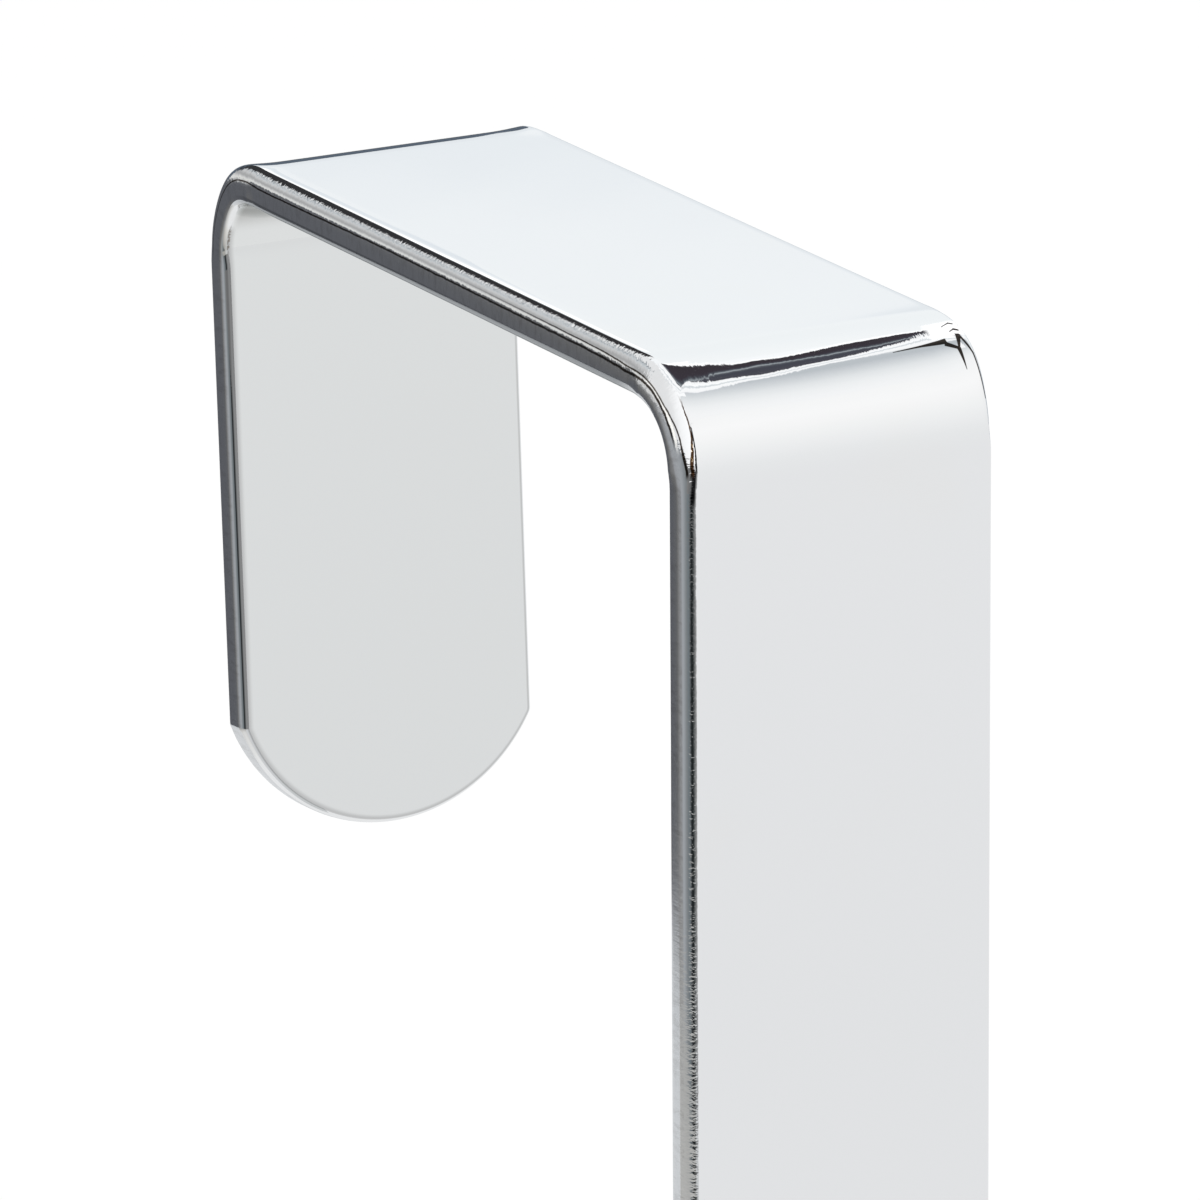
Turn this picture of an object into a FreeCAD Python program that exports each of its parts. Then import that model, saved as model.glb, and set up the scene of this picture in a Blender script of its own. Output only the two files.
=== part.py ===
"""Over door hook: one strip of flat steel, bent three times and plated.

Frame: millimetres, +Z up. The origin is the middle of the bridge's underside, where the hook
sits on top of the door. X runs across the strap, +Y points to the back of the door, and the
hook hangs on the -Y side.

The strap's side view is one sketch, padded to the strap's width. Both ends are then cut round,
and the edges are rounded: more on the show face than on the face that lies against the door.
"""
import FreeCAD, Part
import math
import os
import Sketcher

from FreeCAD import Placement, Rotation, Vector

# Alias, size in millimetres or degrees, and what it is.
DIMENSIONS = [
    ("strap_width", 16.0, "width of the flat strip"),
    ("strap_thickness", 2.0, "thickness of the flat strip"),
    ("door_gap", 44.5, "clear space between the two legs at the top of the door"),
    ("bend_radius", 3.0, "inside radius of the two top bends"),
    ("back_leg_lean", 3.0, "degrees by which the back leg leans towards the door"),
    ("back_leg_length", 29.6, "back leg from its bend to the tip of its round end"),
    ("hook_drop", 118.0, "from the top of the door to the underside of the hook"),
    ("hook_radius", 13.0, "inside radius of the hook"),
    ("tip_flare", 12.0, "degrees by which the hook's tip leans away from the leg"),
    ("tip_length", 22.0, "the hook's tip from its bend to its round end"),
    ("end_radius_extra", 0.8, "how much larger a round end's radius is than half the width"),
    ("end_shift", 0.3, "how far a round end's centre sits off the strap's middle"),
    ("corner_radius", 0.8, "rounding where a round end meets the strap's sides"),
    ("show_edge_radius", 0.5, "rounding along the edges of the show face"),
    ("door_edge_radius", 0.25, "rounding along the edges of the door face"),
]

# How a sketch numbers a curve's points, its own origin and its horizontal axis.
START, END, CENTRE = 1, 2, 3
ORIGIN = (-1, 1)
HORIZONTAL_AXIS = -1

# A point this near to a line, in millimetres, lies on it.
TOUCHING = 1e-4


def make_sheet(doc):
    """Write the driving dimensions into a spreadsheet, one alias for each."""
    sheet = doc.addObject("Spreadsheet::Sheet", "dims")
    for row, (alias, value, meaning) in enumerate(DIMENSIONS, start=1):
        sheet.set(f"A{row}", meaning)
        sheet.set(f"B{row}", str(value))
        sheet.setAlias(f"B{row}", alias)
    doc.recompute()
    return sheet


def new_sketch(body, name, role):
    """Add a sketch on one of the body's own origin planes."""
    plane = next(item for item in body.Origin.OriginFeatures if item.Role == role)
    sketch = body.newObject("Sketcher::SketchObject", name)
    sketch.AttachmentSupport = (plane, "")
    sketch.MapMode = "FlatFace"
    return sketch


def tie(sketch, *constraint):
    """Add a constraint that has no size, such as a tangency."""
    return sketch.addConstraint(Sketcher.Constraint(*constraint))


def drive(sketch, name, formula, *constraint):
    """Add a dimension whose value follows a formula on the sheet."""
    sketch.renameConstraint(tie(sketch, *constraint), name)
    sketch.setExpression(f"Constraints.{name}", formula)


def line(sketch, start, end):
    """Draw a line between two points of the sketch."""
    return sketch.addGeometry(Part.LineSegment(Vector(*start, 0), Vector(*end, 0)), False)


def arc(sketch, centre, radius, start_angle, end_angle):
    """Draw an anticlockwise arc between two angles in degrees."""
    circle = Part.Circle(Vector(*centre, 0), Vector(0, 0, 1), radius)
    turn = math.radians(start_angle), math.radians(end_angle)
    return sketch.addGeometry(Part.ArcOfCircle(circle, *turn), False)


def polar(point, distance, angle):
    """Return the point that lies a distance away, in a direction in degrees."""
    turn = math.radians(angle)
    return point[0] + distance * math.cos(turn), point[1] + distance * math.sin(turn)


class Strap:
    """Where the strap's bends are in the side view, as (Y, Z) points and angles in degrees."""

    def __init__(self, sheet):
        for alias, _, _ in DIMENSIONS:
            setattr(self, alias, getattr(sheet, alias))
        side = self.door_gap / 2
        self.back_centre = (side - self.bend_radius, -self.bend_radius)
        self.front_centre = (self.bend_radius - side, -self.bend_radius)
        self.hook_centre = (
            -side - self.strap_thickness - self.hook_radius,
            self.strap_thickness + self.hook_radius - self.hook_drop,
        )
        self.back_angle = -self.back_leg_lean
        self.tip_angle = self.tip_flare - 180


def draw_face(sketch, strap, depth):
    """Draw one broad face of the strap, a depth away from its door face.

    Returns the numbers of its lines and arcs by name, from the back leg's end to the tip.
    """
    top = strap.bend_radius + depth
    hook = strap.hook_radius + strap.strap_thickness - depth
    leg_top = polar(strap.back_centre, top, strap.back_angle)
    tip_root = polar(strap.hook_centre, hook, strap.tip_angle)
    face = {
        "back_leg": line(sketch, polar(leg_top, strap.back_leg_length, strap.back_angle - 90), leg_top),
        "back_bend": arc(sketch, strap.back_centre, top, strap.back_angle, 90),
        "bridge": line(sketch, polar(strap.back_centre, top, 90), polar(strap.front_centre, top, 90)),
        "front_bend": arc(sketch, strap.front_centre, top, 90, 180),
        "front_leg": line(sketch, polar(strap.front_centre, top, 180), polar(strap.hook_centre, hook, 0)),
        "hook_bend": arc(sketch, strap.hook_centre, hook, strap.tip_angle, 0),
        "tip": line(sketch, tip_root, polar(tip_root, strap.tip_length, strap.tip_angle - 90)),
    }
    tie(sketch, "Tangent", face["back_leg"], END, face["back_bend"], START)
    tie(sketch, "Tangent", face["back_bend"], END, face["bridge"], START)
    tie(sketch, "Tangent", face["bridge"], END, face["front_bend"], START)
    tie(sketch, "Tangent", face["front_bend"], END, face["front_leg"], START)
    tie(sketch, "Tangent", face["front_leg"], END, face["hook_bend"], END)
    tie(sketch, "Tangent", face["hook_bend"], START, face["tip"], START)
    return face


def draw_side_view(body, strap):
    """Draw the strap's side view; returns the sketch, its door face and its show face."""
    sketch = new_sketch(body, "side_view", "YZ_Plane")
    door = draw_face(sketch, strap, 0)
    show = draw_face(sketch, strap, strap.strap_thickness)

    for bend in ("back_bend", "front_bend", "hook_bend"):
        tie(sketch, "Coincident", door[bend], CENTRE, show[bend], CENTRE)
    for leg, end in (("back_leg", START), ("tip", END)):
        corners = [sketch.getPoint(face[leg], end) for face in (door, show)]
        cap = line(sketch, *[(corner.x, corner.y) for corner in corners])
        tie(sketch, "Coincident", cap, START, door[leg], end)
        tie(sketch, "Coincident", cap, END, show[leg], end)
        tie(sketch, "Perpendicular", cap, door[leg])
        tie(sketch, "Parallel", door[leg], show[leg])
    tie(sketch, "Horizontal", door["bridge"])
    tie(sketch, "Vertical", door["front_leg"])
    tie(sketch, "PointOnObject", door["bridge"], START, HORIZONTAL_AXIS)

    inside = strap.bend_radius
    outside = strap.bend_radius + strap.strap_thickness
    cradle = strap.hook_radius
    underside = strap.hook_radius + strap.strap_thickness
    for bend in ("back_bend", "front_bend"):
        drive(sketch, f"{bend}_inside", "dims.bend_radius", "Radius", door[bend], inside)
        drive(sketch, f"{bend}_outside", "dims.bend_radius + dims.strap_thickness",
              "Radius", show[bend], outside)
    drive(sketch, "hook_inside", "dims.hook_radius", "Radius", show["hook_bend"], cradle)
    drive(sketch, "hook_outside", "dims.hook_radius + dims.strap_thickness",
          "Radius", door["hook_bend"], underside)

    drive(sketch, "front_leg_place", "dims.door_gap / 2",
          "DistanceX", door["front_leg"], START, *ORIGIN, strap.door_gap / 2)
    drive(sketch, "back_bend_place", "dims.door_gap / 2 - dims.bend_radius",
          "DistanceX", *ORIGIN, door["back_bend"], CENTRE, strap.back_centre[0])
    drive(sketch, "hook_place", "dims.hook_drop - dims.hook_radius - dims.strap_thickness",
          "DistanceY", door["hook_bend"], CENTRE, *ORIGIN, -strap.hook_centre[1])
    drive(sketch, "back_leg_angle", "(90 - dims.back_leg_lean) * 1 deg",
          "Angle", door["back_leg"], math.radians(90 - strap.back_leg_lean))
    drive(sketch, "back_leg_run", "dims.back_leg_length",
          "Distance", door["back_leg"], strap.back_leg_length)
    drive(sketch, "tip_angle", "(90 + dims.tip_flare) * 1 deg",
          "Angle", door["tip"], math.radians(90 + strap.tip_flare))
    drive(sketch, "tip_run", "dims.tip_length", "Distance", door["tip"], strap.tip_length)
    return sketch, door, show


def pad_strap(body, sketch):
    """Pad the side view to the strap's width, half to each side."""
    pad = body.newObject("PartDesign::Pad", "strip")
    pad.Profile = sketch
    pad.SideType = "Symmetric"
    pad.setExpression("Length", "dims.strap_width")
    return pad


def cut_round_end(body, strap, name, turn, place):
    """Cut one end of the strap round.

    The sketch lies halfway through the strap, with its origin at the tip of the end and its Y
    axis along the strap towards the bend. turn and place are formulas: how far the sketch
    leans from upright, and the tip's Y and Z.
    """
    half = strap.strap_width / 2
    radius = half + strap.end_radius_extra
    shift = strap.end_shift
    centre = (shift, radius)
    margin = strap.strap_thickness
    left_angle = math.degrees(math.acos((half + shift) / radius)) - 180
    right_angle = -math.degrees(math.acos((half - shift) / radius))
    left = polar(centre, radius, left_angle)
    right = polar(centre, radius, right_angle)

    sketch = new_sketch(body, f"{name}_waste", "XZ_Plane")
    sketch.AttachmentOffset = Placement(Vector(), Rotation(Vector(1, 0, 0), 1))
    sketch.setExpression("AttachmentOffset.Rotation.Angle", turn)
    sketch.setExpression("AttachmentOffset.Base.z", f"-({place[0]})")
    sketch.setExpression("AttachmentOffset.Base.y", place[1])

    outline = [
        right,
        (half + margin, right[1]),
        (half + margin, -margin),
        (-half - margin, -margin),
        (-half - margin, left[1]),
        left,
    ]
    end = arc(sketch, centre, radius, left_angle, right_angle)
    sides = [line(sketch, *pair) for pair in zip(outline, outline[1:])]
    for before, after in zip([end] + sides, sides + [end]):
        tie(sketch, "Coincident", before, END, after, START)
    for index, side in enumerate(sides):
        tie(sketch, "Vertical" if index % 2 else "Horizontal", side)

    drive(sketch, "end_radius", "dims.strap_width / 2 + dims.end_radius_extra", "Radius", end, radius)
    drive(sketch, "tip_height", "dims.strap_width / 2 + dims.end_radius_extra",
          "DistanceY", *ORIGIN, end, CENTRE, radius)
    drive(sketch, "centre_shift", "dims.end_shift", "DistanceX", *ORIGIN, end, CENTRE, shift)
    drive(sketch, "left_side", "dims.strap_width / 2", "DistanceX", end, START, *ORIGIN, half)
    drive(sketch, "right_side", "dims.strap_width / 2", "DistanceX", *ORIGIN, end, END, half)
    drive(sketch, "waste_right", "dims.strap_thickness",
          "DistanceX", end, END, sides[1], START, margin)
    drive(sketch, "waste_left", "dims.strap_thickness",
          "DistanceX", sides[3], START, end, START, margin)
    drive(sketch, "waste_below", "dims.strap_thickness",
          "DistanceY", sides[2], START, *ORIGIN, margin)

    pocket = body.newObject("PartDesign::Pocket", name)
    pocket.Profile = sketch
    pocket.SideType = "Symmetric"
    pocket.setExpression("Length", "2 * dims.strap_thickness")
    return pocket


def edges_by_face(shape, sketch, door, show):
    """Sort a shape's edges by the broad face of the strap that they run along.

    Returns the names of the edges round the door face, of those round the show face, and of
    the short ones that cross the strap's thickness. Lines straight across the strap, where a
    bend runs smoothly into a leg, are in none of the three.
    """
    paths = [Part.Compound([sketch.Geometry[item].toShape() for item in face.values()])
             for face in (door, show)]
    found = {"door": [], "show": [], "across": []}
    for number, edge in enumerate(shape.Edges, start=1):
        low, high = edge.ParameterRange
        points = [edge.valueAt(low + (high - low) * share) for share in (0, 0.5, 1)]
        on_door, on_show = [
            [path.distToShape(Part.Vertex(point.y, point.z, 0))[0] < TOUCHING for point in points]
            for path in paths
        ]
        straight_across = abs(abs(points[2].x - points[0].x) - edge.Length) < TOUCHING
        if straight_across:
            continue
        if all(on_door):
            found["door"].append(f"Edge{number}")
        elif all(on_show):
            found["show"].append(f"Edge{number}")
        elif (on_door[0] and on_show[2]) or (on_show[0] and on_door[2]):
            found["across"].append(f"Edge{number}")
    return found


def round_edges(body, before, name, edges, radius_alias):
    """Round the named edges of the feature before this one."""
    fillet = body.newObject("PartDesign::Fillet", name)
    fillet.Base = (before, edges)
    fillet.setExpression("Radius", f"dims.{radius_alias}")
    return fillet


def make_hook_strap(doc, sheet):
    """Build the whole hook, which is one piece of bent strap."""
    strap = Strap(sheet)
    body = doc.addObject("PartDesign::Body", "hook_strap")
    body.Label = "hook_strap"
    body.Placement = Placement()
    sketch, door, show = draw_side_view(body, strap)
    pad_strap(body, sketch)

    lean = "(dims.back_leg_lean * 1 deg)"
    flare = "(dims.tip_flare * 1 deg)"
    bend_middle = "(dims.bend_radius + dims.strap_thickness / 2)"
    hook_middle = "(dims.hook_radius + dims.strap_thickness / 2)"
    back_place = (
        f"dims.door_gap / 2 - dims.bend_radius + {bend_middle} * cos{lean}"
        f" - dims.back_leg_length * sin{lean}",
        f"-dims.bend_radius - {bend_middle} * sin{lean} - dims.back_leg_length * cos{lean}",
    )
    tip_place = (
        f"-dims.door_gap / 2 - dims.strap_thickness - dims.hook_radius"
        f" - {hook_middle} * cos{flare} - dims.tip_length * sin{flare}",
        f"dims.strap_thickness + dims.hook_radius - dims.hook_drop"
        f" - {hook_middle} * sin{flare} + dims.tip_length * cos{flare}",
    )
    cut_round_end(body, strap, "back_end", f"-{lean}", back_place)
    feature = cut_round_end(body, strap, "tip_end", f"180 deg + {flare}", tip_place)
    doc.recompute()

    roundings = [
        ("across", "corner_radius"),
        ("show", "show_edge_radius"),
        ("door", "door_edge_radius"),
    ]
    for group, alias in roundings:
        edges = edges_by_face(feature.Shape, sketch, door, show)[group]
        feature = round_edges(body, feature, f"{group}_edges", edges, alias)
        doc.recompute()
    return body


def check(doc, pieces):
    """Stop if a feature failed, a cut took nothing away, or a piece is not one sound solid."""
    for item in doc.Objects:
        if {"Invalid", "Error"} & set(item.State):
            raise RuntimeError(f"{item.Name} is in state {item.State}")
        if item.TypeId == "PartDesign::Pocket" and item.Shape.Volume >= item.BaseFeature.Shape.Volume:
            raise RuntimeError(f"{item.Name} cuts nothing")
    for piece in pieces:
        shape = piece.Shape
        if shape.isNull() or not shape.isValid() or len(shape.Solids) != 1:
            raise RuntimeError(f"{piece.Label} is not one sound solid")


def main():
    doc = FreeCAD.newDocument("over_door_hook")
    sheet = make_sheet(doc)
    pieces = [make_hook_strap(doc, sheet)]
    check(doc, pieces)
    os.makedirs("parts", exist_ok=True)
    for piece in pieces:
        piece.Shape.exportStep(os.path.join("parts", f"{piece.Label}.step"))
        box = piece.Shape.optimalBoundingBox()
        print(f"{piece.Label}: {piece.Shape.Volume:.0f} mm3, "
              f"{box.XLength:.2f} x {box.YLength:.2f} x {box.ZLength:.2f} mm")


main()
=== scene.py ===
"""Chrome looks for the over door hook: the plated strap, a pale studio and the camera.

It is laid out as an add-on and run as a script. Lengths are metres, in the CAD model's frame:
Z is up, Y points to the back of the door, and the origin is where the bridge rests on the door.
"""

import math

import bpy
import numpy as np
from bpy.props import FloatProperty, FloatVectorProperty, PointerProperty
from mathutils import Matrix, Vector
from mathutils.bvhtree import BVHTree
from mathutils.geometry import barycentric_transform


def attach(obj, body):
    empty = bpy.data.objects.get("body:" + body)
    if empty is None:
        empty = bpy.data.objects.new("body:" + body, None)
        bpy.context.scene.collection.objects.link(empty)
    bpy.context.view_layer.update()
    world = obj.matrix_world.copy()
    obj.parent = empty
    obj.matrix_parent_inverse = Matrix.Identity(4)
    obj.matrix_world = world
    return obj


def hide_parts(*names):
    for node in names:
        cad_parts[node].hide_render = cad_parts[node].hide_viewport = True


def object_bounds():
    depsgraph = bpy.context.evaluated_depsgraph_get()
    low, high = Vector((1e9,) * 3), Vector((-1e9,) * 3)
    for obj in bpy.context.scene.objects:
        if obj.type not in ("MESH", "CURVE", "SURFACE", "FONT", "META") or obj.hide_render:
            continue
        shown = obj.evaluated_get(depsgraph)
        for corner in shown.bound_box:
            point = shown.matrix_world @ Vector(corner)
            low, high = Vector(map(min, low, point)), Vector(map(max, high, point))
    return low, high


bl_info = {
    "name": "Over door hook",
    "version": (1, 0, 0),
    "blender": (4, 5, 0),
    "location": "3D View > Sidebar > Door hook",
    "description": "Makes a chrome plated over door hook from bent strip, and a studio for it",
    "category": "Object",
}

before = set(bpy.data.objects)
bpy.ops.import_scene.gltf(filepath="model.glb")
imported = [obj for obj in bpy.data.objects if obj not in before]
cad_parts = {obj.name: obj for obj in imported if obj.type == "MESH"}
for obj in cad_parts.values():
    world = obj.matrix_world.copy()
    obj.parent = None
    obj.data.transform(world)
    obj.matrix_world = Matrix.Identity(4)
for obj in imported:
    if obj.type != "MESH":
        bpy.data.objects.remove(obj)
CAD_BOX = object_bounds()
MM = 0.001
MICRON = 1e-6


class StrapSizes(bpy.types.PropertyGroup):
    """Sizes of the bent strip."""

    width: FloatProperty(
        name="Width", description="Width of the strip", default=16 * MM, unit="LENGTH")
    thickness: FloatProperty(
        name="Thickness", description="Thickness of the strip", default=2 * MM, unit="LENGTH")
    door_gap: FloatProperty(
        name="Door gap", description="Room between the legs for the door",
        default=44.5 * MM, unit="LENGTH")
    bend_radius: FloatProperty(
        name="Bend radius", description="Inside radius of the two bends over the door",
        default=3 * MM, unit="LENGTH")
    bend_easing: FloatProperty(
        name="Bend easing", description="Length over which a bend starts and ends",
        default=0.4 * MM, unit="LENGTH")
    lean: FloatProperty(
        name="Back leg lean", description="How far the back leg leans in towards the door",
        default=math.radians(3), subtype="ANGLE")
    back_leg: FloatProperty(
        name="Back leg", description="Straight length of the back leg",
        default=29.6 * MM, unit="LENGTH")
    drop: FloatProperty(
        name="Drop", description="From the top of the door to the lowest point of the hook",
        default=118 * MM, unit="LENGTH")
    hook_radius: FloatProperty(
        name="Hook radius", description="Inside radius of the hook",
        default=13 * MM, unit="LENGTH")
    flare: FloatProperty(
        name="Tip flare", description="How far the tip leans out",
        default=math.radians(12), subtype="ANGLE")
    tip: FloatProperty(
        name="Tip", description="Straight length of the tip", default=22 * MM, unit="LENGTH")
    end_radius: FloatProperty(
        name="End radius", description="Radius of the round ends",
        default=8.8 * MM, unit="LENGTH")
    end_shift: FloatProperty(
        name="End shift", description="How far the round ends sit off the middle",
        default=0.3 * MM, unit="LENGTH")
    corner_radius: FloatProperty(
        name="Corner radius", description="Rounding where a round end meets a side",
        default=0.8 * MM, unit="LENGTH")
    far_edge: FloatProperty(
        name="Far edge", description="Rounding of the far edge as a share of the near one",
        default=0.4, subtype="FACTOR")
    near_curl: FloatProperty(
        name="Near curl", description="How far the near edge curls up on the back bend",
        default=0.25 * MM, unit="LENGTH")
    far_curl: FloatProperty(
        name="Far curl", description="How far the far edge curls up on the back bend",
        default=0.15 * MM, unit="LENGTH")
    spread: FloatProperty(
        name="Spread", description="How far the edges bulge on the inside of a bend",
        default=0.10 * MM, unit="LENGTH")
    swell: FloatProperty(
        name="Swell", description="How far the far half of the front bend stands out",
        default=0.16 * MM, unit="LENGTH")
    ear: FloatProperty(
        name="Ear", description="How far the far edge of the front bend stands out further",
        default=0.16 * MM, unit="LENGTH")


class ChromeFinish(bpy.types.PropertyGroup):
    """Looks of the chrome plating."""

    colour: FloatVectorProperty(
        name="Colour", description="Colour of the chrome", subtype="COLOR", size=3,
        min=0, max=1, default=(0.765, 0.775, 0.785))
    roughness: FloatProperty(
        name="Roughness", description="Roughness of the polished faces",
        default=0.035, subtype="FACTOR")
    edge_roughness: FloatProperty(
        name="Edge roughness", description="Roughness of the cut edge",
        default=0.13, subtype="FACTOR")


class StudioLight(bpy.types.PropertyGroup):
    """Floor, light and dark cards."""

    floor_colour: FloatVectorProperty(
        name="Floor", description="Colour of the floor", subtype="COLOR", size=3,
        min=0, max=1, default=(0.95, 0.95, 0.95))
    sky: FloatProperty(
        name="Sky", description="Light from all round", default=0.9)
    key: FloatProperty(
        name="Key light", description="Power of the large soft light", default=5.5,
        unit="POWER")


# The strap's edge, from the show face round to the door face. The cut leaves a soft roll-over,
# which goes deeper in the front bend, and below it a flat burnished band.
# Roll-over: millimetres along the edge, the same in the front bend, and the turn in degrees.
ROLL_OVER = (
    (0.0, 0.0, 0.0), (0.45, 0.45, 1.2), (0.7, 0.7, 3.5), (0.85, 0.85, 8.0), (0.95, 0.95, 14.0),
    (1.05, 1.03, 22.0), (1.15, 1.10, 31.0), (1.25, 1.17, 40.0), (1.35, 1.30, 49.0),
    (1.45, 1.45, 58.0), (1.55, 1.62, 66.0), (1.65, 1.80, 73.0), (1.75, 1.98, 79.0),
    (1.83, 2.12, 82.5), (1.95, 2.30, 83.5), (2.05, 2.42, 85.5), (2.13, 2.50, 88.0),
    (2.2, 2.57, 90.0),
)
# The door side, which tumbling rounds a little: millimetres along the edge, and the turn.
DOOR_EDGE = (
    (0.0, 92.5), (0.07, 95.0), (0.11, 99.0), (0.21, 103.0), (0.30, 108.0), (0.36, 115.0),
    (0.40, 124.0), (0.44, 133.0), (0.48, 142.0), (0.52, 150.0), (0.57, 157.0), (0.69, 162.0),
    (0.705, 178.5), (1.07, 180.0),
)
# How far the roll-over is its deeper self, by millimetres past the start of the front bend.
DEEPER = ((-24.5, 0.0), (-13.0, 0.2), (-8.0, 0.31), (-4.3, 0.43), (-2.3, 0.66), (-0.8, 0.97),
          (2.5, 1.0), (4.0, 0.97), (5.0, 0.8), (6.0, 0.3), (7.5, 0.0))

# Where the burnished band starts on the edge, along it from the show face.
BAND_START = 1.8 * MM

# How finely the strap's mesh is divided.
FLAT_STEPS = 4
ARC_STEPS = 30
CORNER_STEPS = 8
COLUMNS = 26
FINE_ROWS, COARSE_ROWS = 0.16 * MM, 0.62 * MM
# How far from the foot and from the tip the rows keep clear of the round ends.
END_ROOM = 7 * MM


def eased(values, half_width, step):
    """Smooth evenly spaced values with a moving average."""
    count = max(1, int(round(half_width / step)))
    window = np.ones(2 * count + 1) / (2 * count + 1)
    padded = np.concatenate([np.full(count, values[0]), values, np.full(count, values[-1])])
    return np.convolve(padded, window, mode="valid")


class BentLine:
    """The strip's middle line, seen from the side.

    It starts at the foot of the back leg. heading is the angle of travel from +Y towards +Z, and
    the show face is on its right.
    """

    STEP = 0.02 * MM

    def __init__(self, sizes):
        half = sizes.thickness / 2
        tight = sizes.bend_radius + half
        hook = sizes.hook_radius + half
        easing = sizes.bend_easing
        back_turn = math.pi / 2 + sizes.lean
        hook_turn = math.pi - sizes.flare
        back_gain = self.corner_gain(tight, back_turn, easing)
        front_gain = self.corner_gain(tight, math.pi / 2, easing)
        bridge = sizes.door_gap - 2 * sizes.bend_radius
        front_leg = sizes.drop - sizes.hook_radius - sizes.thickness - sizes.bend_radius
        runs = (
            (sizes.back_leg - back_gain, 0.0),
            (tight * back_turn, 1 / tight),
            (bridge - back_gain - front_gain, 0.0),
            (tight * math.pi / 2, 1 / tight),
            (front_leg - front_gain, 0.0),
            (hook * hook_turn, -1 / hook),
            (sizes.tip, 0.0),
        )
        self.ends = np.cumsum([length for length, _ in runs])
        self.length = self.ends[-1]
        self.along = np.arange(0, self.length + self.STEP, self.STEP)
        run = np.minimum(np.searchsorted(self.ends, self.along), len(runs) - 1)
        self.curve = eased(np.array([curve for _, curve in runs])[run], easing, self.STEP)
        start = math.pi / 2 - sizes.lean
        turned = np.cumsum(self.curve) * self.STEP
        self.heading = start + turned - turned[0]
        self.heading *= (start + back_turn + math.pi / 2 - hook_turn) / self.heading[-1]
        self.y = np.cumsum(np.cos(self.heading)) * self.STEP
        self.z = np.cumsum(np.sin(self.heading)) * self.STEP
        middle = (self.ends[1] + self.ends[2]) / 2 + (front_gain - back_gain) / 2
        self.y -= np.interp(middle, self.along, self.y)
        self.z += half - np.interp(middle, self.along, self.z)

    @classmethod
    def corner_gain(cls, radius, turn, easing):
        """How much further from its corner an eased bend starts than a plain one does."""
        length = radius * turn + 2 * easing
        along = np.arange(0, length, cls.STEP)
        inside = (along > easing) & (along < length - easing)
        heading = np.cumsum(eased(np.where(inside, 1 / radius, 0.0), easing, cls.STEP)) * cls.STEP
        heading *= turn / heading[-1]
        forward = np.sum(np.cos(heading)) * cls.STEP
        aside = np.sum(np.sin(heading)) * cls.STEP
        return forward - aside / math.tan(turn) - easing - radius * math.tan(turn / 2)

    def at(self, along):
        """Y, Z, heading and curve, at these distances along the line."""
        return [np.interp(along, self.along, row)
                for row in (self.y, self.z, self.heading, self.curve)]


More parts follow.
